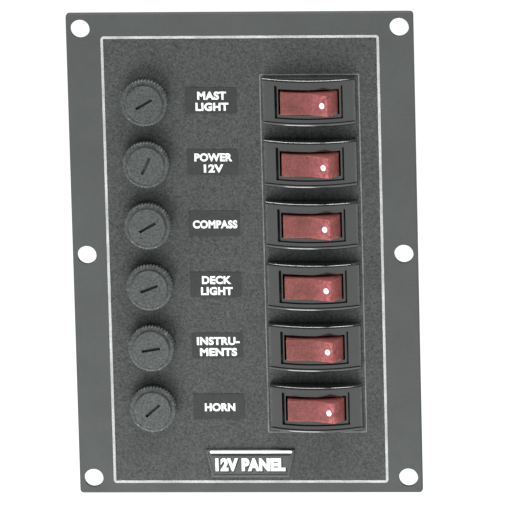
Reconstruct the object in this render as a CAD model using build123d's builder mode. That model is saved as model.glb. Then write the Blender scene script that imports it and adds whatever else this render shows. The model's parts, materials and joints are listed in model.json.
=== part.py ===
from build123d import *
import os
from math import cos, radians, sin, tan

# Six-gang fused switch panel: six bayonet cartridge fuse holders, each feeding a lit rocker switch.
# Millimetres. X runs to the right along the face, Z is up, and the face looks along -Y.
# The origin is the centre of the plate's back face. A height h above the face lies at y = -PLATE_T - h.

# Plate
PLATE_W = 115.0
PLATE_H = 165.0
PLATE_T = 2.0
PLATE_CORNER_R = 1.2
PLATE_EDGE_R = 0.5
HOLE_X = 52.8
HOLE_Z = 77.3
HOLE_D = 6.4

# Rows
ROWS = 6
ROW_PITCH = 21.05
ROW_MID_Z = 0.3
FUSE_X = -31.8
SWITCH_X = 22.6
LABEL_X = -10.0

# Fuse holder body
CUTOUT_D = 13.8
BARREL_D = 13.4
BARREL_REAR = 36.0
FLANGE_D = 15.4
FLANGE_T = 1.4
GASKET_D = 15.2
GASKET_T = 0.6
FRONT_BORE_D = 10.1
FRONT_BORE_END = 4.5
BORE_D = 8.0
BORE_END = 34.0
THREAD_FIRST = 4.3
THREAD_PITCH = 1.25
THREAD_TURNS = 7
THREAD_DEPTH = 0.35
NUT_AF = 17.0
NUT_T = 3.5
NUT_BORE_D = 13.6

# Fuse cap
KNOB_D = 15.6
KNOB_BACK = -4.3
RING_FRONT = -6.6
RING_EDGE_R = 0.9
RING_ENVELOPE_D = 15.8
CENTRE_FRONT = -7.6
CENTRE_EDGE_R = 0.25
KNURLS = 44
KNURL_DEPTH = 0.3
KNURL_W = 0.55
CENTRE_D = 12.2
COIN_SLOT_L = 6.2
COIN_SLOT_W = 0.95
COIN_SLOT_DEPTH = 1.2
COIN_SLOT_ANGLES = (30.0, 65.0, 30.0, 21.0, 10.0, 42.0)
PLUG_D = 9.9
PLUG_END = 3.6
LUG_R = 5.75
LUG_HALF_ANGLE = 14.0
LUG_START = -1.5
LUG_END = 0.5
BAYONET_TURN = 60.0
ENTRY_R = 6.0
ENTRY_MARGIN = 6.0
ENTRY_END = 1.5
WEDGE_STEPS = 8

# Clip, fuse and contacts
CLIP_OD = 7.6
CLIP_ID = 6.55
CLIP_FLOOR_T = 0.5
CLIP_END = 4.2
CLIP_SLIT_W = 0.8
FUSE_START = -4.0
FUSE_L = 31.75
FUSE_CAP_D = 6.35
FUSE_CAP_L = 6.3
FUSE_CAP_T = 0.4
GLASS_OD = 5.9
GLASS_ID = 4.9
ELEMENT_D = 0.35
SEAT_Y = 27.95
SEAT_T = 0.6
SEAT_D = 7.0
SPRING_D = 5.2
SPRING_WIRE_D = 0.6
SPRING_TURNS = 4.0
SPRING_END = 33.35
TAB_W = 6.3
TAB_T = 0.8
SIDE_TAB_Y = 14.4
SIDE_TAB_W = 4.8
SIDE_TAB_REACH = 14.2
STRIP_R_IN = 3.45
STRIP_R_OUT = 3.85
STRIP_HALF_W = 1.5
STRIP_FRONT = 4.6
STEM_D = 3.0
END_TAB_REACH = 15.5

# Switch housing
BEZEL_W = 30.6
BEZEL_H = 16.0
BEZEL_END_H = 1.9
BEZEL_MID_H = 5.9
LIP_W = 1.1
LIP_DEPTH = 0.7
BEZEL_EDGE_R = 1.0
LEDGE_L = 22.6
LEDGE_W = 11.2
LEDGE_DEPTH = 1.0
OPENING_L = 20.2
OPENING_W = 8.6
HOUSING_L = 26.6
HOUSING_W = 12.8
HOUSING_REAR = 16.0
CAVITY_END = 14.0
CUTOUT_L = 27.0
CUTOUT_W = 13.2
WING_OUT = 1.0
WING_START = 0.15
WING_END = 4.5
PIVOT_Y = -4.0
PIVOT_BORE_D = 2.5
PIVOT_BORE_END = 6.1

# Rocker, plunger and lever
ROCKER_TILT = 12.5
ROCKER_TOP_MID = 4.3
ROCKER_TOP_HALF = 8.2
ROCKER_FOOT_HALF = 9.6
ROCKER_FOOT = -1.0
ROCKER_TOP_W = 7.0
ROCKER_BASE_W = 7.6
ROCKER_WALL = 1.0
PIVOT_PIN_D = 2.4
PIVOT_PIN_END = 6.0
STEM_HALF_L = 1.9
STEM_HALF_W = 2.6
STEM_FOOT = -10.0
PLUNGER_D = 2.6
PLUNGER_TOP = -6.0
PLUNGER_TIP = -14.9
PLUNGER_FIT = 0.05
LEVER_Y = 11.9
LEVER_TILT = 8.0
LEVER_DISH = 10.0
LEVER_BEAD_R = 0.8
LEVER_T = 0.6
LEVER_WING_L = 7.4
LEVER_W = 3.6

# Switch terminals and lamp
BLADE_PITCH = 7.0
BLADE_END = 26.0
CONTACT_TOP = 11.75
POST_TOP = 12.8
BLADE_CLEARANCE = 0.05
LAMP_X = 5.6
LAMP_Y = -0.6
LAMP_D = 2.4
LAMP_HALF_L = 2.1
LEAD_D = 0.5
LEAD_Z = 2.5
LEAD_STUB_D = 0.7
LEAD_STUB_END = 2.85

# Wiring
LINK_D = 2.6
JUMPER_D = 2.0
BEND_R = 8.0
SLEEVE_H = 3.8
SLEEVE_W = 7.8
SLEEVE_R = 1.2
LINK_SLEEVE_START = -24.8
LINK_SLEEVE_L = 8.8
CRIMP_D = 4.4
CRIMP_L = 3.2
SWITCH_SLEEVE_START = 17.0
SWITCH_SLEEVE_L = 9.0
JUMPER_OFFSET = 1.4
JUMPER_CRIMP_D = 3.2
JUMPER_CRIMP_L = 2.5
BUS_X0 = -46.2
BUS_X1 = -40.4
BUS_T = 1.0
BUS_Z0 = -56.5
BUS_Z1 = 66.0
RIVET_X = -43.3
RIVET_D = 3.0
RIVET_HEAD_D = 4.8
RIVET_HEAD_T = 0.8
SCREW_Z = 62.0
SCREW_D = 4.0
SCREW_HOLE_D = 4.3
SCREW_HEAD_D = 7.6
SCREW_HEAD_T = 2.6
SCREW_NUT_AF = 7.0
SCREW_NUT_T = 3.0

# Labels and nameplate
LABEL_W = 17.0
LABEL_H = 8.6
LABEL_T = 0.15
NAME_Z = -72.1
NAME_TOP_W = 30.0
NAME_BOTTOM_W = 26.0
NAME_H = 9.6
NAME_T = 0.8
NAME_POCKET = 0.3
NAME_BORDER = 0.8

ROW_Z = [ROW_MID_Z + ROW_PITCH * ((ROWS - 1) / 2 - row) for row in range(ROWS)]
FUSE_CENTRES = [(FUSE_X, z) for z in ROW_Z]
SWITCH_CENTRES = [(SWITCH_X, z) for z in ROW_Z]
FLANGE_FRONT = -PLATE_T - GASKET_T - FLANGE_T
FUSE_END = FUSE_START + FUSE_L
END_TAB_Y = BARREL_REAR + TAB_T
LINK_Y = END_TAB_Y + TAB_T / 2
BEZEL_R = ((BEZEL_W / 2) ** 2 + (BEZEL_MID_H - BEZEL_END_H) ** 2) / (2 * (BEZEL_MID_H - BEZEL_END_H))

os.makedirs("parts", exist_ok=True)


def face_at(y):
    """A drawing plane facing the front, whose axes are the object's X and Z."""
    return Plane(origin=(0, y, 0), x_dir=(1, 0, 0), z_dir=(0, -1, 0))


def section_at(x, y, z, tilt=0.0):
    """A plane across a switch: its first axis runs to the right and its second out of the face."""
    return Plane(origin=(x, y, z), x_dir=(cos(radians(tilt)), -sin(radians(tilt)), 0), z_dir=(0, 0, -1))


def save(part, label):
    """Name one finished sub-part and write it to the parts folder."""
    part.label = label
    export_step(part, f"parts/{label}.step")


def discs(centres, diameter, y0, y1, mode=Mode.ADD):
    """Round bars along Y, one on each centre."""
    with BuildSketch(face_at(y1)) as outline:
        with Locations(*centres):
            Circle(diameter / 2)
    extrude(outline.sketch, amount=y1 - y0, mode=mode)


def rings(centres, outer, inner, y0, y1, mode=Mode.ADD):
    """Tubes along Y, one on each centre."""
    with BuildSketch(face_at(y1)) as outline:
        with Locations(*centres):
            Circle(outer / 2)
        with Locations(*centres):
            Circle(inner / 2, mode=Mode.SUBTRACT)
    extrude(outline.sketch, amount=y1 - y0, mode=mode)


def blocks(centres, width, height, y0, y1, mode=Mode.ADD):
    """Rectangular bars along Y, one on each centre."""
    with BuildSketch(face_at(y1)) as outline:
        with Locations(*centres):
            Rectangle(width, height)
    extrude(outline.sketch, amount=y1 - y0, mode=mode)


def wedge_points(centre, radius, start, end):
    """The corners of a wedge over the angles from start to end, a little wider than the radius."""
    angles = [start + (end - start) * i / WEDGE_STEPS for i in range(WEDGE_STEPS + 1)]
    reach = radius / cos(radians((end - start) / WEDGE_STEPS / 2))
    rim = [(centre[0] + reach * cos(radians(a)), centre[1] + reach * sin(radians(a))) for a in angles]
    return [centre] + rim


def rocker_profile():
    """The rocker's side view, seen from below with the pivot at the origin."""
    rise = ROCKER_TOP_MID + ROCKER_TOP_HALF * sin(radians(ROCKER_TILT))
    reach = ROCKER_TOP_HALF * cos(radians(ROCKER_TILT))
    return [
        (0, ROCKER_TOP_MID),
        (reach, rise),
        (ROCKER_FOOT_HALF, 0),
        (ROCKER_FOOT_HALF, ROCKER_FOOT),
        (-ROCKER_FOOT_HALF, ROCKER_FOOT),
        (-ROCKER_FOOT_HALF, 0),
        (-reach, rise),
    ]


def rocker_hollow():
    """The same outline one wall thinner and open at the foot."""
    rise = ROCKER_TOP_MID + ROCKER_TOP_HALF * sin(radians(ROCKER_TILT)) - 1.25 * ROCKER_WALL
    reach = ROCKER_TOP_HALF * cos(radians(ROCKER_TILT)) - ROCKER_WALL
    return [
        (0, ROCKER_TOP_MID - ROCKER_WALL),
        (reach, rise),
        (ROCKER_FOOT_HALF - ROCKER_WALL, 0),
        (ROCKER_FOOT_HALF - ROCKER_WALL, ROCKER_FOOT - 1),
        (-ROCKER_FOOT_HALF + ROCKER_WALL, ROCKER_FOOT - 1),
        (-ROCKER_FOOT_HALF + ROCKER_WALL, 0),
        (-reach, rise),
    ]


# The moulded plate with its six mounting holes and twelve cutouts
with BuildPart() as face_plate:
    with BuildSketch(face_at(0)):
        RectangleRounded(PLATE_W, PLATE_H, PLATE_CORNER_R)
    extrude(amount=PLATE_T)
    fillet(face_plate.faces().sort_by(Axis.Y)[0].edges(), PLATE_EDGE_R)
    with BuildSketch(face_at(1)):
        with GridLocations(2 * HOLE_X, HOLE_Z, 2, 3):
            Circle(HOLE_D / 2)
        with Locations(*FUSE_CENTRES):
            Circle(CUTOUT_D / 2)
        with Locations(*SWITCH_CENTRES):
            Rectangle(CUTOUT_L, CUTOUT_W)
    extrude(amount=PLATE_T + 2, mode=Mode.SUBTRACT)
save(face_plate.part, "face_plate")

# The nameplate: a shallow tray with slanted ends
with BuildPart() as nameplate:
    with BuildSketch(face_at(-PLATE_T)):
        with Locations((0, NAME_Z)):
            Polygon(
                (-NAME_BOTTOM_W / 2, -NAME_H / 2),
                (NAME_BOTTOM_W / 2, -NAME_H / 2),
                (NAME_TOP_W / 2, NAME_H / 2),
                (-NAME_TOP_W / 2, NAME_H / 2),
                align=None,
            )
    extrude(amount=NAME_T)
    fillet(nameplate.faces().sort_by(Axis.Y)[0].edges(), 0.25)
    with BuildSketch(face_at(-PLATE_T - NAME_T + NAME_POCKET)):
        with Locations((0, NAME_Z)):
            Polygon(
                (-NAME_BOTTOM_W / 2 + NAME_BORDER, -NAME_H / 2 + NAME_BORDER),
                (NAME_BOTTOM_W / 2 - NAME_BORDER, -NAME_H / 2 + NAME_BORDER),
                (NAME_TOP_W / 2 - NAME_BORDER, NAME_H / 2 - NAME_BORDER),
                (-NAME_TOP_W / 2 + NAME_BORDER, NAME_H / 2 - NAME_BORDER),
                align=None,
            )
    extrude(amount=NAME_POCKET + 1, mode=Mode.SUBTRACT)
save(nameplate.part, "nameplate")

# Circuit labels: thin stickers between the fuses and the switches
with BuildPart() as circuit_labels:
    with BuildSketch(face_at(-PLATE_T)):
        with Locations(*[(LABEL_X, z) for z in ROW_Z]):
            RectangleRounded(LABEL_W, LABEL_H, 0.5)
    extrude(amount=LABEL_T)
save(circuit_labels.part, "circuit_labels")

# Fuse holder bodies: flange, threaded barrel, stepped bore and bayonet entries
with BuildPart() as fuse_bodies:
    discs(FUSE_CENTRES, FLANGE_D, FLANGE_FRONT, FLANGE_FRONT + FLANGE_T)
    discs(FUSE_CENTRES, BARREL_D, FLANGE_FRONT, BARREL_REAR)
    for turn in range(THREAD_TURNS):
        y = THREAD_FIRST + turn * THREAD_PITCH
        rings(FUSE_CENTRES, BARREL_D + 1, BARREL_D - 2 * THREAD_DEPTH, y, y + THREAD_PITCH / 2, Mode.SUBTRACT)
    discs(FUSE_CENTRES, FRONT_BORE_D, FLANGE_FRONT - 1, FRONT_BORE_END, Mode.SUBTRACT)
    discs(FUSE_CENTRES, BORE_D, FLANGE_FRONT - 1, BORE_END, Mode.SUBTRACT)
    discs(FUSE_CENTRES, STEM_D, FLANGE_FRONT - 1, BARREL_REAR + 1, Mode.SUBTRACT)
    for centre in FUSE_CENTRES:
        with BuildSketch(face_at(ENTRY_END)):
            for side in (0, 180):
                start = side - LUG_HALF_ANGLE - ENTRY_MARGIN
                end = start + BAYONET_TURN + 2 * (LUG_HALF_ANGLE + ENTRY_MARGIN)
                Polygon(*wedge_points(centre, ENTRY_R, start, end), align=None)
            with Locations(centre):
                Circle(ENTRY_R, mode=Mode.INTERSECT)
        extrude(amount=ENTRY_END - FLANGE_FRONT + 1, mode=Mode.SUBTRACT)
    slot_reach = BARREL_D / 2 + 1 - STRIP_R_IN
    slot_centres = [(FUSE_X - STRIP_R_IN - slot_reach / 2, z) for z in ROW_Z]
    blocks(slot_centres, slot_reach, SIDE_TAB_W, SIDE_TAB_Y, SIDE_TAB_Y + TAB_T, Mode.SUBTRACT)
save(fuse_bodies.part, "fuse_bodies")

# Rubber gaskets under the flanges
with BuildPart() as fuse_gaskets:
    rings(FUSE_CENTRES, GASKET_D, BARREL_D, -PLATE_T - GASKET_T, -PLATE_T)
save(fuse_gaskets.part, "fuse_gaskets")

# Hexagon nuts that clamp the holders to the plate
with BuildPart() as fuse_nuts:
    with BuildSketch(face_at(NUT_T)):
        with Locations(*FUSE_CENTRES):
            RegularPolygon(NUT_AF / 2, 6, major_radius=False)
        with Locations(*FUSE_CENTRES):
            Circle(NUT_BORE_D / 2, mode=Mode.SUBTRACT)
    extrude(amount=NUT_T)
save(fuse_nuts.part, "fuse_nuts")

# Side terminals: an inner spring strip that meets the cap's clip, and a tab out through the barrel wall
with BuildPart() as side_terminals:
    with BuildSketch(face_at(SIDE_TAB_Y + TAB_T)):
        with Locations(*FUSE_CENTRES):
            Circle(STRIP_R_OUT)
        with Locations(*FUSE_CENTRES):
            Circle(STRIP_R_IN, mode=Mode.SUBTRACT)
        with Locations(*[(FUSE_X - STRIP_R_OUT + 0.6, z) for z in ROW_Z]):
            Rectangle(1.2, 2 * STRIP_HALF_W, mode=Mode.INTERSECT)
    extrude(amount=SIDE_TAB_Y + TAB_T - STRIP_FRONT)
    tab_length = SIDE_TAB_REACH - STRIP_R_OUT + 0.15
    tab_centres = [(FUSE_X - SIDE_TAB_REACH + tab_length / 2, z) for z in ROW_Z]
    blocks(tab_centres, tab_length, SIDE_TAB_W, SIDE_TAB_Y, SIDE_TAB_Y + TAB_T)
    discs([(RIVET_X, z) for z in ROW_Z], RIVET_D, SIDE_TAB_Y - 1, SIDE_TAB_Y + 2, Mode.SUBTRACT)
save(side_terminals.part, "side_terminals")

# End terminals: a riveted stem through the rear wall and a flat tab turned towards the switches
with BuildPart() as end_terminals:
    discs(FUSE_CENTRES, 2 * STEM_D, BORE_END - 0.6, BORE_END)
    discs(FUSE_CENTRES, STEM_D, BORE_END, END_TAB_Y)
    discs(FUSE_CENTRES, 2.4 * STEM_D, BARREL_REAR, END_TAB_Y)
    tab_length = END_TAB_REACH + TAB_W / 2
    tab_centres = [(FUSE_X - TAB_W / 2 + tab_length / 2, z) for z in ROW_Z]
    blocks(tab_centres, tab_length, TAB_W, END_TAB_Y, END_TAB_Y + TAB_T)
    discs(FUSE_CENTRES, 1.6 * STEM_D, END_TAB_Y, END_TAB_Y + 2 * TAB_T)
save(end_terminals.part, "end_terminals")

# Contact springs: a brass seat behind each fuse, pushed forward by a coil
with BuildPart() as contact_springs:
    discs(FUSE_CENTRES, SEAT_D, SEAT_Y, SEAT_Y + SEAT_T)
    coil_start = SEAT_Y + SEAT_T + SPRING_WIRE_D / 2
    coil_length = SPRING_END - SPRING_WIRE_D / 2 - coil_start
    for z in ROW_Z:
        with BuildLine() as coil:
            Helix(
                coil_length / SPRING_TURNS,
                coil_length,
                SPRING_D / 2,
                center=(FUSE_X, coil_start, z),
                direction=(0, 1, 0),
            )
        with BuildSketch(Plane(origin=coil.line @ 0, z_dir=coil.line % 0)):
            Circle(SPRING_WIRE_D / 2)
        sweep(path=coil.line, is_frenet=True)
save(contact_springs.part, "contact_springs")

# Switch housings: arched bezel with raised lips and a sunk ledge round the rocker, and the snap-in box
with BuildPart() as switch_housings:
    for z in ROW_Z:
        with BuildSketch(section_at(SWITCH_X, -PLATE_T, z)):
            with BuildLine():
                Polyline(
                    (-BEZEL_W / 2, BEZEL_END_H),
                    (-BEZEL_W / 2, 0),
                    (BEZEL_W / 2, 0),
                    (BEZEL_W / 2, BEZEL_END_H),
                )
                ThreePointArc((BEZEL_W / 2, BEZEL_END_H), (0, BEZEL_MID_H), (-BEZEL_W / 2, BEZEL_END_H))
            make_face()
        extrude(amount=BEZEL_H / 2, both=True)
    fillet(switch_housings.edges().filter_by(GeomType.CIRCLE), BEZEL_EDGE_R)
    for z in ROW_Z:
        with BuildSketch(section_at(SWITCH_X, -PLATE_T, z)):
            with Locations((0, BEZEL_MID_H - BEZEL_R)):
                Circle(BEZEL_R + 2)
                Circle(BEZEL_R - LIP_DEPTH, mode=Mode.SUBTRACT)
        extrude(amount=BEZEL_H / 2 - LIP_W, both=True, mode=Mode.SUBTRACT)
        with BuildSketch(section_at(SWITCH_X, -PLATE_T, z)):
            with Locations((0, BEZEL_MID_H - BEZEL_R)):
                Circle(BEZEL_R + 2)
                Circle(BEZEL_R - LIP_DEPTH - LEDGE_DEPTH, mode=Mode.SUBTRACT)
            with Locations((0, BEZEL_MID_H)):
                Rectangle(LEDGE_L, 2 * BEZEL_MID_H, mode=Mode.INTERSECT)
        extrude(amount=LEDGE_W / 2, both=True, mode=Mode.SUBTRACT)
    blocks(SWITCH_CENTRES, HOUSING_L, HOUSING_W, -PLATE_T, HOUSING_REAR)
    for z in ROW_Z:
        with BuildSketch(Plane(origin=(SWITCH_X, 0, z), x_dir=(1, 0, 0), z_dir=(0, 0, 1))):
            for side in (-1, 1):
                with BuildLine():
                    Polyline(
                        (side * HOUSING_L / 2, WING_START),
                        (side * (HOUSING_L / 2 + WING_OUT), WING_START),
                        (side * HOUSING_L / 2, WING_END),
                        close=True,
                    )
                make_face()
        extrude(amount=HOUSING_W / 4, both=True)
    blocks(SWITCH_CENTRES, OPENING_L, OPENING_W, -PLATE_T - BEZEL_MID_H - 1, CAVITY_END, Mode.SUBTRACT)
    for z in ROW_Z:
        with BuildSketch(Plane(origin=(SWITCH_X, PIVOT_Y, z), x_dir=(1, 0, 0), z_dir=(0, 0, 1))):
            Circle(PIVOT_BORE_D / 2)
        extrude(amount=PIVOT_BORE_END, both=True, mode=Mode.SUBTRACT)
    slot_centres = [(SWITCH_X + side * BLADE_PITCH, z) for z in ROW_Z for side in (-1, 0, 1)]
    slot_size = (TAB_T + 2 * BLADE_CLEARANCE, TAB_W + 2 * BLADE_CLEARANCE)
    blocks(slot_centres, slot_size[0], slot_size[1], CAVITY_END - 1, HOUSING_REAR + 1, Mode.SUBTRACT)
    lead_centres = [(SWITCH_X + LAMP_X, z + side * LEAD_Z) for z in ROW_Z for side in (-1, 1)]
    discs(lead_centres, LEAD_D, CAVITY_END - 1, CAVITY_END + 1, Mode.SUBTRACT)
save(switch_housings.part, "switch_housings")

# Switch terminals: two fixed contacts and the centre post that the lever rocks on
with BuildPart() as switch_terminals:
    blade_centres = [(SWITCH_X + side * BLADE_PITCH, z) for z in ROW_Z for side in (-1, 0, 1)]
    blocks(blade_centres, TAB_T, TAB_W, CAVITY_END, BLADE_END)
    contact_centres = [(SWITCH_X + side * BLADE_PITCH, z) for z in ROW_Z for side in (-1, 1)]
    blocks(contact_centres, TAB_T, LEVER_W - 0.6, CONTACT_TOP, CAVITY_END)
    blocks(SWITCH_CENTRES, TAB_T, LEVER_W - 0.6, POST_TOP, CAVITY_END)
save(switch_terminals.part, "switch_terminals")

# Indicator lamps: a small bulb across each cavity on two stiff leads
with BuildPart() as indicator_lamps:
    for z in ROW_Z:
        with BuildSketch(Plane(origin=(SWITCH_X + LAMP_X, LAMP_Y, z), x_dir=(1, 0, 0), z_dir=(0, 0, 1))):
            Circle(LAMP_D / 2)
        extrude(amount=LAMP_HALF_L, both=True)
        with BuildSketch(Plane(origin=(SWITCH_X + LAMP_X, LAMP_Y, z), x_dir=(1, 0, 0), z_dir=(0, 0, 1))):
            Circle(LEAD_STUB_D / 2)
        extrude(amount=LEAD_STUB_END, both=True)
    lead_centres = [(SWITCH_X + LAMP_X, z + side * LEAD_Z) for z in ROW_Z for side in (-1, 1)]
    discs(lead_centres, LEAD_D, LAMP_Y, CAVITY_END + 1)
save(indicator_lamps.part, "indicator_lamps")

# Bus bar: one strip that feeds the side terminals
bus_y0 = SIDE_TAB_Y + TAB_T
bus_y1 = bus_y0 + BUS_T
with BuildPart() as bus_bar:
    bus_centre = ((BUS_X0 + BUS_X1) / 2, (BUS_Z0 + BUS_Z1) / 2)
    with BuildSketch(face_at(bus_y1)):
        with Locations(bus_centre):
            RectangleRounded(BUS_X1 - BUS_X0, BUS_Z1 - BUS_Z0, 1.5)
        with Locations(*[(RIVET_X, z) for z in ROW_Z]):
            Circle(RIVET_D / 2, mode=Mode.SUBTRACT)
        with Locations((RIVET_X, SCREW_Z)):
            Circle(SCREW_HOLE_D / 2, mode=Mode.SUBTRACT)
    extrude(amount=BUS_T)
save(bus_bar.part, "bus_bar")

# Rivets between the side tabs and the bus bar
with BuildPart() as bus_rivets:
    rivet_centres = [(RIVET_X, z) for z in ROW_Z]
    discs(rivet_centres, RIVET_D, SIDE_TAB_Y, bus_y1)
    discs(rivet_centres, RIVET_HEAD_D, bus_y1, bus_y1 + RIVET_HEAD_T)
    discs(rivet_centres, RIVET_HEAD_D, SIDE_TAB_Y - RIVET_HEAD_T, SIDE_TAB_Y)
save(bus_rivets.part, "bus_rivets")

# Feed screw at the bar's upper end, with its nut as a second solid
with BuildPart() as feed_screw:
    screw_centre = [(RIVET_X, SCREW_Z)]
    screw_tip = bus_y0 - SCREW_NUT_T - 2
    discs(screw_centre, SCREW_D, screw_tip, bus_y1)
    discs(screw_centre, SCREW_HEAD_D, bus_y1, bus_y1 + SCREW_HEAD_T)
    fillet(feed_screw.edges().group_by(Axis.Y)[-1], 0.8)
    drive_y = bus_y1 + SCREW_HEAD_T
    for size in ((SCREW_D + 0.6, 1.0), (1.0, SCREW_D + 0.6)):
        blocks(screw_centre, size[0], size[1], drive_y - 1.2, drive_y + 1, Mode.SUBTRACT)
    with BuildSketch(face_at(bus_y0)):
        with Locations((RIVET_X, SCREW_Z)):
            RegularPolygon(SCREW_NUT_AF / 2, 6, major_radius=False)
            Circle(SCREW_D / 2, mode=Mode.SUBTRACT)
    extrude(amount=SCREW_NUT_T)
save(feed_screw.part, "feed_screw")

# Link wires from each fuse's end terminal to the middle blade of its switch
link_start = LINK_SLEEVE_START + LINK_SLEEVE_L
switch_sleeve_end = SWITCH_SLEEVE_START + SWITCH_SLEEVE_L
with BuildPart() as link_wires:
    for z in ROW_Z:
        with BuildLine() as route:
            FilletPolyline(
                (link_start, LINK_Y, z),
                (SWITCH_X, LINK_Y, z),
                (SWITCH_X, switch_sleeve_end, z),
                radius=BEND_R,
            )
        with BuildSketch(Plane(origin=route.line @ 0, z_dir=route.line % 0)):
            Circle(LINK_D / 2)
        sweep(path=route.line)
save(link_wires.part, "link_wires")

# Ground jumpers: loops between the left-hand blades of neighbouring switches
jumper_x = SWITCH_X - BLADE_PITCH
jumper_top = switch_sleeve_end + JUMPER_CRIMP_L + BEND_R
with BuildPart() as ground_jumpers:
    for upper, lower in zip(ROW_Z[:-1], ROW_Z[1:]):
        with BuildLine() as route:
            FilletPolyline(
                (jumper_x, switch_sleeve_end, upper - JUMPER_OFFSET),
                (jumper_x, jumper_top, upper - JUMPER_OFFSET),
                (jumper_x, jumper_top, lower + JUMPER_OFFSET),
                (jumper_x, switch_sleeve_end, lower + JUMPER_OFFSET),
                radius=BEND_R,
            )
        with BuildSketch(Plane(origin=route.line @ 0, z_dir=route.line % 0)):
            Circle(JUMPER_D / 2)
        sweep(path=route.line)
save(ground_jumpers.part, "ground_jumpers")

# Insulated receptacles on the end tabs and on the switch blades
with BuildPart() as wire_sleeves:
    for z in ROW_Z:
        with BuildSketch(Plane(origin=(LINK_SLEEVE_START, LINK_Y, z), x_dir=(0, 1, 0), z_dir=(1, 0, 0))):
            RectangleRounded(SLEEVE_H, SLEEVE_W, SLEEVE_R)
            Rectangle(TAB_T, TAB_W, mode=Mode.SUBTRACT)
        extrude(amount=LINK_SLEEVE_L)
        with BuildSketch(Plane(origin=(link_start, LINK_Y, z), x_dir=(0, 1, 0), z_dir=(1, 0, 0))):
            Circle(CRIMP_D / 2)
            Circle(LINK_D / 2, mode=Mode.SUBTRACT)
        extrude(amount=CRIMP_L)
    for side in (-1, 0):
        sleeve_x = SWITCH_X + side * BLADE_PITCH
        with BuildSketch(face_at(switch_sleeve_end)):
            with Locations(*[(sleeve_x, z) for z in ROW_Z]):
                RectangleRounded(SLEEVE_H, SLEEVE_W, SLEEVE_R)
            with Locations(*[(sleeve_x, z) for z in ROW_Z]):
                Rectangle(TAB_T, TAB_W, mode=Mode.SUBTRACT)
        extrude(amount=SWITCH_SLEEVE_L)
    rings(SWITCH_CENTRES, CRIMP_D, LINK_D, switch_sleeve_end, switch_sleeve_end + CRIMP_L)
    ends = [(jumper_x, z - JUMPER_OFFSET) for z in ROW_Z[:-1]]
    ends += [(jumper_x, z + JUMPER_OFFSET) for z in ROW_Z[1:]]
    rings(ends, JUMPER_CRIMP_D, JUMPER_D, switch_sleeve_end, switch_sleeve_end + JUMPER_CRIMP_L)
    discs(ends, JUMPER_D, switch_sleeve_end, switch_sleeve_end + JUMPER_CRIMP_L + 1, Mode.SUBTRACT)
save(wire_sleeves.part, "wire_sleeves")

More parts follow.
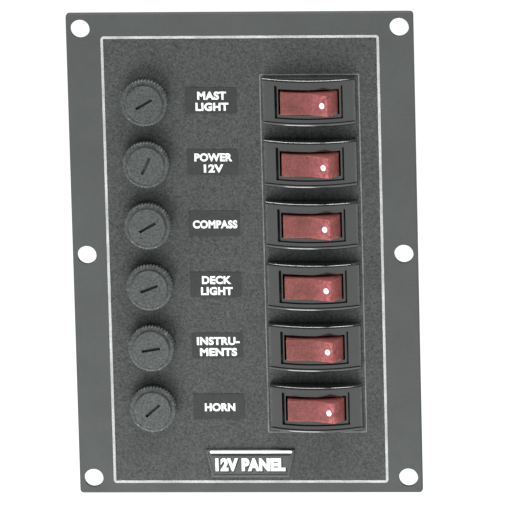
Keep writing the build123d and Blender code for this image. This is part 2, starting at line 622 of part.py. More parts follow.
# The moving pieces of each row, numbered from the top
for row, z in enumerate(ROW_Z):
    number = row + 1
    fuse_centre = [(FUSE_X, z)]

    with BuildPart() as rocker:
        with BuildSketch(section_at(SWITCH_X, PIVOT_Y, z, ROCKER_TILT)):
            Polygon(*rocker_profile(), align=None)
        extrude(amount=ROCKER_BASE_W / 2, both=True)
        taper_plane = Plane(
            origin=(SWITCH_X, PIVOT_Y, z),
            x_dir=(0, 0, 1),
            z_dir=(cos(radians(ROCKER_TILT)), -sin(radians(ROCKER_TILT)), 0),
        )
        side = -1 if taper_plane.y_dir.Y > 0 else 1
        rise = ROCKER_TOP_MID + ROCKER_TOP_HALF * tan(radians(ROCKER_TILT))
        with BuildSketch(taper_plane):
            Polygon(
                (-ROCKER_BASE_W / 2, side * ROCKER_FOOT),
                (ROCKER_BASE_W / 2, side * ROCKER_FOOT),
                (ROCKER_TOP_W / 2, side * rise),
                (-ROCKER_TOP_W / 2, side * rise),
                align=None,
            )
        extrude(amount=2 * ROCKER_FOOT_HALF, both=True, mode=Mode.INTERSECT)
        fillet(rocker.edges().filter_by(Axis.Z, reverse=True).group_by(Axis.Y)[0], 0.3)
        with BuildSketch(section_at(SWITCH_X, PIVOT_Y, z, ROCKER_TILT)):
            Polygon(*rocker_hollow(), align=None)
        extrude(amount=ROCKER_TOP_W / 2 - ROCKER_WALL, both=True, mode=Mode.SUBTRACT)
        with BuildSketch(section_at(SWITCH_X, PIVOT_Y, z, ROCKER_TILT)):
            with Locations((0, (ROCKER_TOP_MID - 0.5 + STEM_FOOT) / 2)):
                Rectangle(2 * STEM_HALF_L, ROCKER_TOP_MID - 0.5 - STEM_FOOT)
        extrude(amount=STEM_HALF_W, both=True)
        with BuildSketch(section_at(SWITCH_X, PIVOT_Y, z, ROCKER_TILT)):
            with Locations((0, 0)):
                Rectangle(2 * STEM_HALF_L, 2 * abs(ROCKER_FOOT))
        extrude(amount=ROCKER_TOP_W / 2, both=True)
        with BuildSketch(section_at(SWITCH_X, PIVOT_Y, z)):
            Circle(PIVOT_PIN_D / 2)
        extrude(amount=PIVOT_PIN_END, both=True)
        plunger_axis = (sin(radians(ROCKER_TILT)), cos(radians(ROCKER_TILT)), 0)
        guide_origin = (
            SWITCH_X - PLUNGER_TOP * plunger_axis[0],
            PIVOT_Y - PLUNGER_TOP * plunger_axis[1],
            z,
        )
        with BuildSketch(Plane(origin=guide_origin, x_dir=(0, 0, 1), z_dir=plunger_axis)):
            Circle(PLUNGER_D / 2 + PLUNGER_FIT)
        extrude(amount=PLUNGER_TOP - STEM_FOOT + 1, mode=Mode.SUBTRACT)
    save(rocker.part, f"rocker_{number}")

    with BuildPart() as plunger:
        with BuildSketch(section_at(SWITCH_X, PIVOT_Y, z, ROCKER_TILT)):
            with BuildLine():
                tip_shoulder = PLUNGER_TIP + PLUNGER_D / 2
                Polyline((0, PLUNGER_TOP), (PLUNGER_D / 2, PLUNGER_TOP), (PLUNGER_D / 2, tip_shoulder))
                TangentArc((PLUNGER_D / 2, tip_shoulder), (0, PLUNGER_TIP), tangent=(0, -1))
                Line((0, PLUNGER_TIP), (0, PLUNGER_TOP))
            make_face()
        revolve(axis=Axis((SWITCH_X, PIVOT_Y, z), plunger_axis))
    save(plunger.part, f"plunger_{number}")

    with BuildPart() as contact_lever:
        with BuildSketch(section_at(SWITCH_X, LEVER_Y, z, -LEVER_TILT)):
            wing_x = LEVER_WING_L * cos(radians(LEVER_DISH))
            wing_rise = LEVER_WING_L * sin(radians(LEVER_DISH))
            crest = LEVER_BEAD_R
            Polygon(
                (0, crest),
                (wing_x, crest + wing_rise),
                (wing_x, crest + wing_rise - LEVER_T),
                (0, crest - LEVER_T),
                (-wing_x, crest + wing_rise - LEVER_T),
                (-wing_x, crest + wing_rise),
                align=None,
            )
            Circle(LEVER_BEAD_R)
        extrude(amount=LEVER_W / 2, both=True)
    save(contact_lever.part, f"contact_lever_{number}")

    with BuildPart() as fuse_cap:
        with BuildSketch(face_at(KNOB_BACK)):
            with Locations(*fuse_centre):
                Circle(KNOB_D / 2)
                with PolarLocations(KNOB_D / 2, KNURLS):
                    Rectangle(2 * KNURL_DEPTH, KNURL_W, mode=Mode.SUBTRACT)
        extrude(amount=KNOB_BACK - RING_FRONT)
        with BuildSketch(section_at(FUSE_X, 0, z)):
            with BuildLine():
                rim = RING_ENVELOPE_D / 2
                round_start = (rim - RING_EDGE_R, -RING_FRONT)
                round_end = (rim, -RING_FRONT - RING_EDGE_R)
                TangentArc(round_start, round_end, tangent=(1, 0))
                Polyline(round_end, (rim, -KNOB_BACK), (0, -KNOB_BACK), (0, -RING_FRONT), round_start)
            make_face()
        revolve(axis=Axis((FUSE_X, 0, z), (0, -1, 0)), mode=Mode.INTERSECT)
        discs(fuse_centre, CENTRE_D, CENTRE_FRONT, RING_FRONT)
        fillet(fuse_cap.faces().sort_by(Axis.Y)[0].edges(), CENTRE_EDGE_R)
        with BuildSketch(face_at(CENTRE_FRONT + COIN_SLOT_DEPTH)):
            with Locations(Location((FUSE_X, z), COIN_SLOT_ANGLES[row])):
                Rectangle(COIN_SLOT_L, COIN_SLOT_W)
        extrude(amount=COIN_SLOT_DEPTH + 1, mode=Mode.SUBTRACT)
        discs(fuse_centre, PLUG_D, KNOB_BACK, PLUG_END)
        with BuildSketch(face_at(LUG_END)):
            for base in (0, 180):
                lug = wedge_points(fuse_centre[0], LUG_R, base - LUG_HALF_ANGLE, base + LUG_HALF_ANGLE)
                Polygon(*lug, align=None)
            with Locations(*fuse_centre):
                Circle(LUG_R, mode=Mode.INTERSECT)
        extrude(amount=LUG_END - LUG_START)
        discs(fuse_centre, CLIP_OD, FUSE_START - CLIP_FLOOR_T, PLUG_END + 1, Mode.SUBTRACT)
    save(fuse_cap.part, f"fuse_cap_{number}")

    with BuildPart() as fuse_clip:
        discs(fuse_centre, CLIP_OD, FUSE_START - CLIP_FLOOR_T, CLIP_END)
        discs(fuse_centre, CLIP_ID, FUSE_START, CLIP_END + 1, Mode.SUBTRACT)
        for size in ((CLIP_SLIT_W, CLIP_OD + 1), (CLIP_OD + 1, CLIP_SLIT_W)):
            blocks(fuse_centre, size[0], size[1], FUSE_START + 1, CLIP_END + 1, Mode.SUBTRACT)
    save(fuse_clip.part, f"fuse_clip_{number}")

    with BuildPart() as fuse_glass:
        rings(fuse_centre, GLASS_OD, GLASS_ID, FUSE_START + FUSE_CAP_T, FUSE_END - FUSE_CAP_T)
    save(fuse_glass.part, f"fuse_glass_{number}")

    with BuildPart() as fuse_end_caps:
        discs(fuse_centre, FUSE_CAP_D, FUSE_START, FUSE_START + FUSE_CAP_L)
        discs(fuse_centre, FUSE_CAP_D, FUSE_END - FUSE_CAP_L, FUSE_END)
        discs(fuse_centre, GLASS_OD, FUSE_START + FUSE_CAP_T, FUSE_END - FUSE_CAP_T, Mode.SUBTRACT)
        discs(fuse_centre, ELEMENT_D, FUSE_START + FUSE_CAP_T, FUSE_END - FUSE_CAP_T)
    save(fuse_end_caps.part, f"fuse_end_caps_{number}")
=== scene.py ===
import json
import math
import random

import bmesh
import bpy
from mathutils import Matrix, Vector


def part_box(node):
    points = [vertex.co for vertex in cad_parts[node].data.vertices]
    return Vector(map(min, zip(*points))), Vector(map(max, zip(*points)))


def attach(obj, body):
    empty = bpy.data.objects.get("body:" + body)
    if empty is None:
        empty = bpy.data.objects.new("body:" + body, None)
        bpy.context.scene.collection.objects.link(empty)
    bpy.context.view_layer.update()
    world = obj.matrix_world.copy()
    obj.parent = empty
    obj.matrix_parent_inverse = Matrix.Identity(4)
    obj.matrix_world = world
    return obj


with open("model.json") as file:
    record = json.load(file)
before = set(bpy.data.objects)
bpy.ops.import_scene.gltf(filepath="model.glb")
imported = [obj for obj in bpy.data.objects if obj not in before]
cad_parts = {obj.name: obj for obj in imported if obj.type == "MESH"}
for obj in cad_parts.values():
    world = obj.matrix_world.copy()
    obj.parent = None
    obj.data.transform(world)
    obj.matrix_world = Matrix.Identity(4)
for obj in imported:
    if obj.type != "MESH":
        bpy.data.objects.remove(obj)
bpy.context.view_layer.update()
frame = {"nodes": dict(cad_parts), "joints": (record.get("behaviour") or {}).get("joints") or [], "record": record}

MM = 0.001
ROWS = range(1, 7)
random.seed(7)

# ---------------------------------------------------------------- helpers


def joint_origin(name):
    """A hinge's place at rest, from the record."""
    for joint in frame["joints"]:
        if joint["name"] == name:
            return Vector(joint["pos_m"])
    raise KeyError(name)


def node_box(node):
    """A CAD node's lowest and highest corners."""
    low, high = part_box(node)
    return Vector(low), Vector(high)


def new_piece(name, mesh, material, body):
    """A finished piece that rides on a body."""
    obj = bpy.data.objects.new(name, mesh)
    bpy.context.scene.collection.objects.link(obj)
    mesh.materials.clear()
    mesh.materials.append(material)
    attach(obj, body)
    return obj


# ---------------------------------------------------------------- materials


def surface(name, colour, rough=0.5, vary=0.18, vary_mm=14.0, fine=0.1, fine_mm=0.5, bump=0.02,
            bump_mm=0.4, rough_vary=0.1, metallic=0.0, specular=0.5, coat=0.0, transmission=0.0,
            subsurface=0.0, edge_highlight=None, edge_highlight_amount=0.0, scratches=0.0):
    """A procedural finish: broad and fine colour variation, uneven roughness and grain bump.

    wear is the colour of a painted highlight laid on sharp convex edges. scratches is the share of long marks in
    the bump.
    """
    mat = bpy.data.materials.new(name)
    mat.use_nodes = True
    tree = mat.node_tree
    nodes = tree.nodes
    link = tree.links.new
    shader = nodes["Principled BSDF"]
    coords = nodes.new("ShaderNodeTexCoord").outputs["Object"]

    def noise(size_mm, detail=3.0, roughness=0.55):
        node = nodes.new("ShaderNodeTexNoise")
        node.inputs["Scale"].default_value = 1.0 / (size_mm * MM)
        node.inputs["Detail"].default_value = detail
        node.inputs["Roughness"].default_value = roughness
        link(coords, node.inputs["Vector"])
        return node.outputs["Fac"]

    def ranged(value, low, high, start=0.3, end=0.7):
        node = nodes.new("ShaderNodeMapRange")
        node.inputs["From Min"].default_value = start
        node.inputs["From Max"].default_value = end
        node.inputs["To Min"].default_value = low
        node.inputs["To Max"].default_value = high
        link(value, node.inputs["Value"])
        return node.outputs["Result"]

    tint = nodes.new("ShaderNodeVectorMath")
    tint.operation = "SCALE"
    tint.inputs[0].default_value = colour
    link(ranged(noise(vary_mm), 1 - vary, 1 + vary), tint.inputs["Scale"])
    speckle = nodes.new("ShaderNodeVectorMath")
    speckle.operation = "SCALE"
    link(tint.outputs["Vector"], speckle.inputs[0])
    link(ranged(noise(fine_mm, 2.0), 1 - fine, 1 + fine, 0.35, 0.65), speckle.inputs["Scale"])
    out = speckle.outputs["Vector"]
    # Painted highlight: sharp convex edges (pointiness) are lightened in broken patches towards a pale colour,
    # standing in for light catching them.
    if edge_highlight is not None:
        edge = nodes.new("ShaderNodeNewGeometry").outputs["Pointiness"]
        mask = ranged(edge, 0.0, edge_highlight_amount, 0.52, 0.6)
        highlight_patches = nodes.new("ShaderNodeMath")
        highlight_patches.operation = "MULTIPLY"
        link(mask, highlight_patches.inputs[0])
        link(ranged(noise(1.2), 0.2, 1.0, 0.4, 0.6), highlight_patches.inputs[1])
        mix = nodes.new("ShaderNodeMix")
        mix.data_type = "RGBA"
        link(highlight_patches.outputs[0], mix.inputs["Factor"])
        link(out, mix.inputs[6])
        mix.inputs[7].default_value = (*edge_highlight, 1.0)
        out = mix.outputs[2]
    link(out, shader.inputs["Base Color"])
    link(ranged(noise(vary_mm / 3), rough - rough_vary, rough + rough_vary), shader.inputs["Roughness"])
    shader.inputs["Metallic"].default_value = metallic
    shader.inputs["Specular IOR Level"].default_value = specular
    shader.inputs["Coat Weight"].default_value = coat
    shader.inputs["Transmission Weight"].default_value = transmission
    shader.inputs["Subsurface Weight"].default_value = subsurface
    if bump:
        height = noise(bump_mm, 2.0)
        if scratches:
            stretched = nodes.new("ShaderNodeMapping")
            stretched.inputs["Scale"].default_value = (1.0, 1.0, 14.0)
            link(coords, stretched.inputs["Vector"])
            lines = nodes.new("ShaderNodeTexNoise")
            lines.inputs["Scale"].default_value = 220.0
            link(stretched.outputs[0], lines.inputs["Vector"])
            add = nodes.new("ShaderNodeMath")
            add.operation = "MULTIPLY_ADD"
            link(lines.outputs["Fac"], add.inputs[0])
            add.inputs[1].default_value = scratches
            link(height, add.inputs[2])
            height = add.outputs[0]
        relief = nodes.new("ShaderNodeBump")
        relief.inputs["Strength"].default_value = 1.0
        relief.inputs["Distance"].default_value = bump * MM
        link(height, relief.inputs["Height"])
        link(relief.outputs["Normal"], shader.inputs["Normal"])
    return mat


def panel_surface(half_width, low, high):
    """Charcoal grey plate: a grained field inside the printed border and a smoother rim outside it."""
    mat = surface("panel_finish", (0.054, 0.059, 0.0572), rough=0.6, vary=0.07, vary_mm=22.0, fine=0.0,
                  bump=0.0, specular=0.3)
    tree = mat.node_tree
    nodes = tree.nodes
    link = tree.links.new
    shader = nodes["Principled BSDF"]
    coords = nodes.new("ShaderNodeTexCoord").outputs["Object"]
    split = nodes.new("ShaderNodeSeparateXYZ")
    link(coords, split.inputs[0])

    def math_node(kind, a, b=0.0):
        node = nodes.new("ShaderNodeMath")
        node.operation = kind
        for socket, value in zip(node.inputs, (a, b)):
            if isinstance(value, float):
                socket.default_value = value
            else:
                link(value, socket)
        return node.outputs[0]

    inside_x = math_node("LESS_THAN", math_node("ABSOLUTE", split.outputs["X"]), half_width)
    inside_z = math_node("MULTIPLY", math_node("GREATER_THAN", split.outputs["Z"], low),
                         math_node("LESS_THAN", split.outputs["Z"], high))
    in_front = math_node("LESS_THAN", split.outputs["Y"], -1.0 * MM)
    field = math_node("MULTIPLY", math_node("MULTIPLY", inside_x, inside_z), in_front)

    def noise(size_mm, detail, roughness=0.6):
        node = nodes.new("ShaderNodeTexNoise")
        node.inputs["Scale"].default_value = 1.0 / (size_mm * MM)
        node.inputs["Detail"].default_value = detail
        node.inputs["Roughness"].default_value = roughness
        link(coords, node.inputs["Vector"])
        return node.outputs["Fac"]

    grain = noise(0.55, 3.0)
    specks = noise(1.1, 4.0, 0.75)
    contrast = math_node("MULTIPLY_ADD", field, 1.5)
    contrast.node.inputs[2].default_value = 0.45
    grain_tone = math_node("MULTIPLY", math_node("SUBTRACT", grain, 0.5), contrast)
    speck_tone = math_node("MULTIPLY", math_node("SUBTRACT", specks, 0.5),
                           math_node("MULTIPLY", field, 1.5))
    rim_tone = math_node("MULTIPLY", math_node("SUBTRACT", 1.0, field), 0.3)
    tone = math_node("ADD", math_node("ADD", grain_tone, speck_tone), rim_tone)
    tone = math_node("ADD", tone, 1.0)
    previous = shader.inputs["Base Color"].links[0].from_socket
    scale = nodes.new("ShaderNodeVectorMath")
    scale.operation = "SCALE"
    link(previous, scale.inputs[0])
    link(tone, scale.inputs["Scale"])
    link(scale.outputs["Vector"], shader.inputs["Base Color"])
    relief = nodes.new("ShaderNodeBump")
    relief.inputs["Strength"].default_value = 1.0
    relief.inputs["Distance"].default_value = 0.05 * MM
    height = math_node("MULTIPLY", grain, math_node("ADD", math_node("MULTIPLY", field, 0.8), 0.35))
    link(height, relief.inputs["Height"])
    link(relief.outputs["Normal"], shader.inputs["Normal"])
    return mat


FIELD_HALF = 46.1 * MM
FIELD_LOW = -79.0 * MM
FIELD_HIGH = 74.8 * MM

FINISHES = {
    "panel": panel_surface(FIELD_HALF, FIELD_LOW, FIELD_HIGH),
    "badge": surface("badge_finish", (0.062, 0.067, 0.066), rough=0.45, fine=0.16, bump=0.02),
    "label": surface("label_finish", (0.036, 0.039, 0.038), rough=0.45, vary=0.1, vary_mm=5.0, fine=0.16,
                     bump=0.008, specular=0.25),
    "phenolic": surface("phenolic_finish", (0.018, 0.017, 0.016), rough=0.32, fine=0.2, bump=0.01,
                        vary_mm=9.0),
    "phenolic_nut": surface("nut_finish", (0.03, 0.03, 0.03), rough=0.5, fine=0.15, bump=0.02),
    "rubber": surface("rubber_finish", (0.02, 0.02, 0.02), rough=0.75, bump=0.03, fine=0.2),
    "brass": surface("brass_finish", (0.72, 0.50, 0.20), rough=0.3, vary=0.22, vary_mm=6.0, fine=0.06,
                     metallic=1.0, bump=0.004, bump_mm=0.8, scratches=0.8),
    "spring_steel": surface("spring_finish", (0.5, 0.5, 0.5), rough=0.28, metallic=1.0, bump=0.003),
    # Bezels: their sharp edges carry a pale painted highlight.
    "switch_black": surface("switch_finish", (0.008, 0.010, 0.0095), rough=0.15, rough_vary=0.04,
                            vary=0.12, vary_mm=6.0, fine=0.5, fine_mm=0.6, bump=0.012, bump_mm=0.5,
                            specular=0.85, coat=0.45,
                            edge_highlight=(0.13, 0.14, 0.14), edge_highlight_amount=0.45),
    "lamp_glass": surface("lamp_finish", (0.95, 0.62, 0.38), rough=0.08, rough_vary=0.03,
                          transmission=0.8, bump=0.0, vary=0.05),
    "rivet": surface("rivet_finish", (0.62, 0.61, 0.58), rough=0.32, metallic=1.0, bump=0.004,
                     fine=0.05),
    "plated_screw": surface("screw_finish", (0.66, 0.65, 0.62), rough=0.26, metallic=1.0, bump=0.004,
                            fine=0.06),
    "wire_red": surface("wire_red_finish", (0.46, 0.018, 0.014), rough=0.36, vary=0.1, bump=0.006,
                        vary_mm=8.0),
    "wire_black": surface("wire_black_finish", (0.018, 0.018, 0.019), rough=0.4, bump=0.006,
                          vary_mm=8.0),
    "sleeve": surface("sleeve_finish", (0.02, 0.075, 0.42), rough=0.3, vary=0.12, vary_mm=4.0,
                      bump=0.006, subsurface=0.1),
    # Rockers: their sharp edges carry a pink painted highlight.
    "rocker_red": surface("rocker_finish", (0.198, 0.056, 0.051), rough=0.42, vary=0.16, vary_mm=4.5,
                          fine=0.2, fine_mm=0.7, bump=0.018, bump_mm=0.6, subsurface=0.1, specular=0.28,
                          edge_highlight=(0.62, 0.16, 0.17), edge_highlight_amount=0.7),
    "plunger_white": surface("plunger_finish", (0.72, 0.71, 0.66), rough=0.4, bump=0.004),
    # Fuse caps: the knurl and rim edges carry a pale painted highlight.
    "cap": surface("cap_finish", (0.060, 0.0675, 0.0655), rough=0.45, vary=0.1, vary_mm=5.0, fine=0.4,
                   fine_mm=0.7, bump=0.05, bump_mm=0.6, specular=0.4, edge_highlight=(0.24, 0.25, 0.25),
                   edge_highlight_amount=0.6),
    "clip_plated": surface("clip_finish", (0.72, 0.66, 0.5), rough=0.3, metallic=1.0, bump=0.003),
    "fuse_glass": surface("fuse_glass_finish", (0.96, 0.98, 0.97), rough=0.05, rough_vary=0.02,
                          transmission=1.0, bump=0.0, vary=0.01, fine=0.0),
    "fuse_metal": surface("fuse_metal_finish", (0.74, 0.74, 0.72), rough=0.22, metallic=1.0, bump=0.003,
                          vary=0.1),
    "print_white": surface("print_white_finish", (0.92, 0.93, 0.92), rough=0.5, vary=0.05, vary_mm=3.0,
                           fine=0.06, fine_mm=0.5, bump=0.008),
    "print_line": surface("print_line_finish", (0.47, 0.48, 0.47), rough=0.55, vary=0.2, vary_mm=6.0,
                          fine=0.2, fine_mm=0.5, bump=0.008),
    "dot_white": surface("dot_finish", (0.95, 0.95, 0.95), rough=0.25, vary=0.03, vary_mm=1.0, fine=0.02,
                         bump=0.003, coat=0.4),
    "print_grey": surface("print_grey_finish", (0.18, 0.19, 0.185), rough=0.55, vary=0.25, vary_mm=4.0,
                          fine=0.2, bump=0.006),
    "print_black": surface("print_black_finish", (0.006, 0.006, 0.006), rough=0.6, fine=0.3, bump=0.006),
}

for entry in frame["record"]["subparts"]:
    node = frame["nodes"][entry["node"]]
    node.data.materials.clear()
    node.data.materials.append(FINISHES[entry["material_slot"]])

# ---------------------------------------------------------------- printed lines

plate_low, plate_high = node_box("face_plate")
FRONT = plate_low.y
PRINT = 0.05 * MM
WOBBLE = 0.03 * MM
ARC_STEPS = 4
ARC_STEP_DEGREES = 30
LINE_PIECE = 2.0 * MM


def printed_ring(name, x0, x1, z0, z1, width, y, corner, slot, seed):
    """A thin printed rectangle whose edge wanders by a few hundredths of a millimetre."""
    rng = random.Random(seed)
    path = []
    for cx, cz, start in ((x1 - corner, z1 - corner, 0), (x0 + corner, z1 - corner, 90),
                          (x0 + corner, z0 + corner, 180), (x1 - corner, z0 + corner, 270)):
        for step in range(ARC_STEPS):
            path.append((cx, cz, math.radians(start + step * ARC_STEP_DEGREES)))
    outline = []
    for i, (cx, cz, angle) in enumerate(path):
        next_x, next_z, next_angle = path[(i + 1) % len(path)]
        here = Vector((cx + corner * math.cos(angle), cz + corner * math.sin(angle)))
        there = Vector((next_x + corner * math.cos(next_angle), next_z + corner * math.sin(next_angle)))
        steps = max(1, int((there - here).length / LINE_PIECE))
        for s in range(steps):
            point = here.lerp(there, s / steps)
            outline.append((point, Vector((math.cos(angle), math.sin(angle)))))
    bm = bmesh.new()
    loops = []
    for point, normal in outline:
        wobble_out = WOBBLE * rng.uniform(-1, 1)
        wobble_in = WOBBLE * rng.uniform(-1, 1)
        outer = point + normal * wobble_out
        inner = point - normal * (width + wobble_in)
        corners = ((outer, y), (inner, y), (inner, y - PRINT), (outer, y - PRINT))
        loops.append([bm.verts.new((point.x, depth, point.y)) for point, depth in corners])
    count = len(loops)
    for i in range(count):
        a, b = loops[i], loops[(i + 1) % count]
        for j in range(4):
            bm.faces.new((a[j], a[(j + 1) % 4], b[(j + 1) % 4], b[j]))
    bmesh.ops.recalc_face_normals(bm, faces=bm.faces)
    mesh = bpy.data.meshes.new(name)
    bm.to_mesh(mesh)
    bm.free()
    return new_piece(name, mesh, FINISHES[slot], "panel")


BORDER_W = 0.85 * MM
BORDER_CORNER = 1.0 * MM
SWITCH_LINE_LEFT = 16.4 * MM
SWITCH_LINE_RIGHT = 16.7 * MM
SWITCH_LINE_LOW = -61.5 * MM
SWITCH_LINE_HIGH = 61.7 * MM
SWITCH_LINE_W = 0.35 * MM
SWITCH_LINE_CORNER = 0.4 * MM

printed_ring("border_line", -FIELD_HALF, FIELD_HALF, FIELD_LOW, FIELD_HIGH, BORDER_W, FRONT,
             BORDER_CORNER, "print_line", 1)
switch_low, switch_high = node_box("switch_housings")
switch_x = (switch_low.x + switch_high.x) / 2
printed_ring("switch_line", switch_x - SWITCH_LINE_LEFT, switch_x + SWITCH_LINE_RIGHT, SWITCH_LINE_LOW,
             SWITCH_LINE_HIGH, SWITCH_LINE_W, FRONT, SWITCH_LINE_CORNER, "print_grey", 2)

# ---------------------------------------------------------------- lettering

LETTER_SPACING = 1.06
LETTER_RISE = PRINT * 1.6

def bar(name, centre, width, height, y, thickness, slot):
    """A flat printed bar with slightly rounded ends."""
    bm = bmesh.new()
    points = []
    radius = height / 2.2
    for side, start in ((1, -90), (-1, 90)):
        for step in range(7):
            angle = math.radians(start + step * 30)
            x = side * (width / 2 - radius) + radius * math.cos(angle)
            points.append((centre[0] + x, centre[1] + height / 2 * math.sin(angle)))
    face = bm.faces.new([bm.verts.new((x, y, z)) for x, z in points])
    top = bmesh.ops.extrude_face_region(bm, geom=[face])
    bmesh.ops.translate(bm, verts=[v for v in top["geom"] if isinstance(v, bmesh.types.BMVert)],
                        vec=(0, -thickness, 0))
    bmesh.ops.recalc_face_normals(bm, faces=bm.faces)
    mesh = bpy.data.meshes.new(name)
    bm.to_mesh(mesh)
    bm.free()
    return new_piece(name, mesh, FINISHES[slot], "panel")


def lettering(name, text, centre, width, cap_height, y, weight=0.045, slot="print_white"):
    """One line of capitals, fitted to a width and a height, lying on a face that looks along -Y."""
    curve = bpy.data.curves.new(name + "_curve", "FONT")
    curve.body = text
    curve.offset = weight
    curve.extrude = 0.02
    curve.resolution_u = 6
    curve.space_character = LETTER_SPACING
    holder = bpy.data.objects.new(name + "_curve", curve)
    bpy.context.scene.collection.objects.link(holder)
    bpy.context.view_layer.update()
    mesh = bpy.data.meshes.new_from_object(holder)
    bpy.data.objects.remove(holder)
    xs = [v.co.x for v in mesh.vertices]
    ys = [v.co.y for v in mesh.vertices]
    zs = [v.co.z for v in mesh.vertices]
    scale_x = width / (max(xs) - min(xs))
    scale_z = cap_height / (max(ys) - min(ys))
    mid_x = (max(xs) + min(xs)) / 2
    mid_z = (max(ys) + min(ys)) / 2
    low_z = min(zs)
    deep = max(zs) - low_z
    for v in mesh.vertices:
        x, z, d = v.co
        v.co = (centre[0] + (x - mid_x) * scale_x, y - LETTER_RISE * (d - low_z) / deep,
                centre[1] + (z - mid_z) * scale_z)
    mesh.name = name
    return new_piece(name, mesh, FINISHES[slot], "panel")


LINES = (
    (("MAST", 9.6), ("LIGHT", 10.9)),
    (("POWER", 12.6), ("12V", 6.5)),
    (("COMPASS", 14.8),),
    (("DECK", 9.8), ("LIGHT", 10.6)),
    (("INSTRU-", 14.3), ("MENTS", 12.4)),
    (("HORN", 10.2),),
)
CAP_HEIGHT = 2.8 * MM
LINE_STEP = 3.8 * MM
LABEL_DROP = 0.3 * MM
LABEL_SHIFT = 0.3 * MM
label_low, label_high = node_box("circuit_labels")
label_face = label_low.y
label_x = (label_low.x + label_high.x) / 2
for row, lines in zip(ROWS, LINES):
    row_z = joint_origin(f"rocker_{row}_hinge").z - LABEL_DROP
    for i, (text, width) in enumerate(lines):
        z = row_z + LINE_STEP * ((len(lines) - 1) / 2 - i)
        lettering(f"label_{row}_{i + 1}", text, (label_x + LABEL_SHIFT, z), width * MM, CAP_HEIGHT,
                  label_face)

name_low, name_high = node_box("nameplate")
name_mid = (name_low + name_high) / 2
NAME_POCKET = 0.3 * MM
name_face = name_low.y + NAME_POCKET
words_at = (name_mid.x, name_mid.z - 0.4 * MM)
shadow_at = (words_at[0] + 0.25 * MM, words_at[1] - 0.3 * MM)
lettering("nameplate_words", "12V PANEL", words_at, 23.5 * MM, 4.6 * MM, name_face - 2 * PRINT,
          weight=0.065)
# Painted shadow: a larger black copy of the words, set down and to the right and drawn behind them.
lettering("nameplate_words_shadow", "12V PANEL", shadow_at, 23.9 * MM, 4.8 * MM, name_face, weight=0.09,
          slot="print_black")
# Painted highlight: a white bar along the nameplate's top edge, where its upper wall would catch the light. Below
# it, a black bar of painted shadow.
bar("nameplate_highlight_line", (name_mid.x + 0.3 * MM, name_high.z - 0.75 * MM), 27.6 * MM, 0.95 * MM, name_low.y,
    0.05 * MM, "print_white")
bar("nameplate_shadow", (name_mid.x + 0.2 * MM, name_high.z - 1.7 * MM), 26.6 * MM, 1.0 * MM, name_face,
    0.03 * MM, "print_black")

# ---------------------------------------------------------------- indicator dots on the rockers

TILT = math.radians(12.5)
TOP_MID = 4.3 * MM
DOT_ALONG = 6.3 * MM
DOT_RINGS = ((1.0, -0.05), (1.0, 0.06), (0.86, 0.13), (0.45, 0.16))
DOT_SIDES = 24
for row in ROWS:
    pivot = joint_origin(f"rocker_{row}_hinge")
    crest = pivot + Vector((-math.sin(TILT), -math.cos(TILT), 0)) * TOP_MID
    along = Vector((math.cos(2 * TILT), -math.sin(2 * TILT), 0))
    outward = Vector((-math.sin(2 * TILT), -math.cos(2 * TILT), 0))
    centre = crest + along * DOT_ALONG
    bm = bmesh.new()
    rings = []
    for radius, rise in DOT_RINGS:
        ring = []
        for step in range(DOT_SIDES):
            angle = math.tau * step / DOT_SIDES
            across = along * math.cos(angle) + Vector((0, 0, 1)) * math.sin(angle)
            ring.append(bm.verts.new(centre + across * radius * MM + outward * rise * MM))
        rings.append(ring)
    for lower, upper in zip(rings[:-1], rings[1:]):
        for i in range(DOT_SIDES):
            j = (i + 1) % DOT_SIDES
            bm.faces.new((lower[i], lower[j], upper[j], upper[i]))
    bm.faces.new(rings[-1])
    bm.faces.new(list(reversed(rings[0])))
    bmesh.ops.recalc_face_normals(bm, faces=bm.faces)
    mesh = bpy.data.meshes.new(f"rocker_dot_{row}")
    bm.to_mesh(mesh)
    bm.free()
    for polygon in mesh.polygons:
        polygon.use_smooth = True
    new_piece(f"rocker_dot_{row}", mesh, FINISHES["dot_white"], f"rocker_body_{row}")

# ---------------------------------------------------------------- stage, lights and camera

FLOOR_Z = -0.62
FLOOR_HALF = 30


def stage_material():
    """Pale floor that also throws light up at the object."""
    mat = bpy.data.materials.new("floor_finish")
    mat.use_nodes = True
    shader = mat.node_tree.nodes["Principled BSDF"]
    shader.inputs["Base Color"].default_value = (0.86, 0.86, 0.86, 1)
    shader.inputs["Roughness"].default_value = 0.9
    shader.inputs["Emission Color"].default_value = (1, 1, 1, 1)
    shader.inputs["Emission Strength"].default_value = 0.76
    return mat


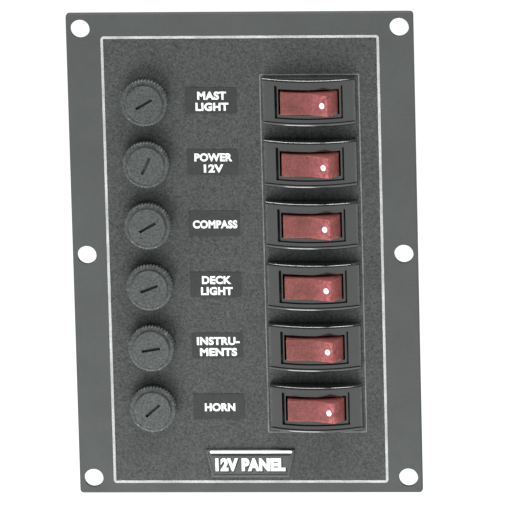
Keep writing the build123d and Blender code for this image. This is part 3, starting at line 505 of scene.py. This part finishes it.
floor_mesh = bpy.data.meshes.new("floor")
bm = bmesh.new()
bmesh.ops.create_grid(bm, x_segments=4, y_segments=4, size=FLOOR_HALF)
bmesh.ops.translate(bm, verts=bm.verts, vec=(0, 0, FLOOR_Z))
bm.to_mesh(floor_mesh)
bm.free()
floor_mesh.materials.append(stage_material())
floor = bpy.data.objects.new("floor", floor_mesh)
bpy.context.scene.collection.objects.link(floor)

world = bpy.data.worlds.new("studio")
bpy.context.scene.world = world
world.use_nodes = True
world.node_tree.nodes["Background"].inputs["Color"].default_value = (1, 1, 1, 1)
world.node_tree.nodes["Background"].inputs["Strength"].default_value = 0.29


def area_light(name, place, target, size, energy):
    """A soft rectangular light that looks at a point."""
    data = bpy.data.lights.new(name, "AREA")
    data.shape = "RECTANGLE"
    data.size, data.size_y = size
    data.energy = energy
    obj = bpy.data.objects.new(name, data)
    bpy.context.scene.collection.objects.link(obj)
    obj.location = place
    obj.rotation_euler = (Vector(target) - Vector(place)).to_track_quat("-Z", "Y").to_euler()
    return obj


area_light("key", (-0.12, -0.32, -0.44), (0, 0, -0.1), (0.3, 0.3), 2.1)
area_light("overhead", (-0.12, -0.3, 1.2), (0, 0, 0), (2.2, 0.2), 28.0)

bpy.context.scene.view_settings.view_transform = "Standard"

AZIMUTH = math.radians(4.96)
ELEVATION = math.radians(15.01)
ROLL = math.radians(-1.48)
DISTANCE = 2.749
back = Vector((math.sin(AZIMUTH) * math.cos(ELEVATION), -math.cos(AZIMUTH) * math.cos(ELEVATION),
               math.sin(ELEVATION)))
right = Vector((math.cos(AZIMUTH), math.sin(AZIMUTH), 0))
up = back.cross(right)
right_rolled = right * math.cos(ROLL) + up * math.sin(ROLL)
up_rolled = up * math.cos(ROLL) - right * math.sin(ROLL)
target = Vector((3.3 * MM, FRONT, -0.1 * MM))
LENS_MM = 584.4
camera_data = bpy.data.cameras.new("camera")
camera_data.sensor_width = 36.0
camera_data.lens = LENS_MM
camera_data.clip_start = 0.1
camera_data.clip_end = 100.0
camera = bpy.data.objects.new("camera", camera_data)
bpy.context.scene.collection.objects.link(camera)
rotation = Matrix((right_rolled, up_rolled, back)).transposed().to_4x4()
camera.matrix_world = Matrix.Translation(target + back * DISTANCE) @ rotation
bpy.context.scene.camera = camera

bpy.context.view_layer.update()
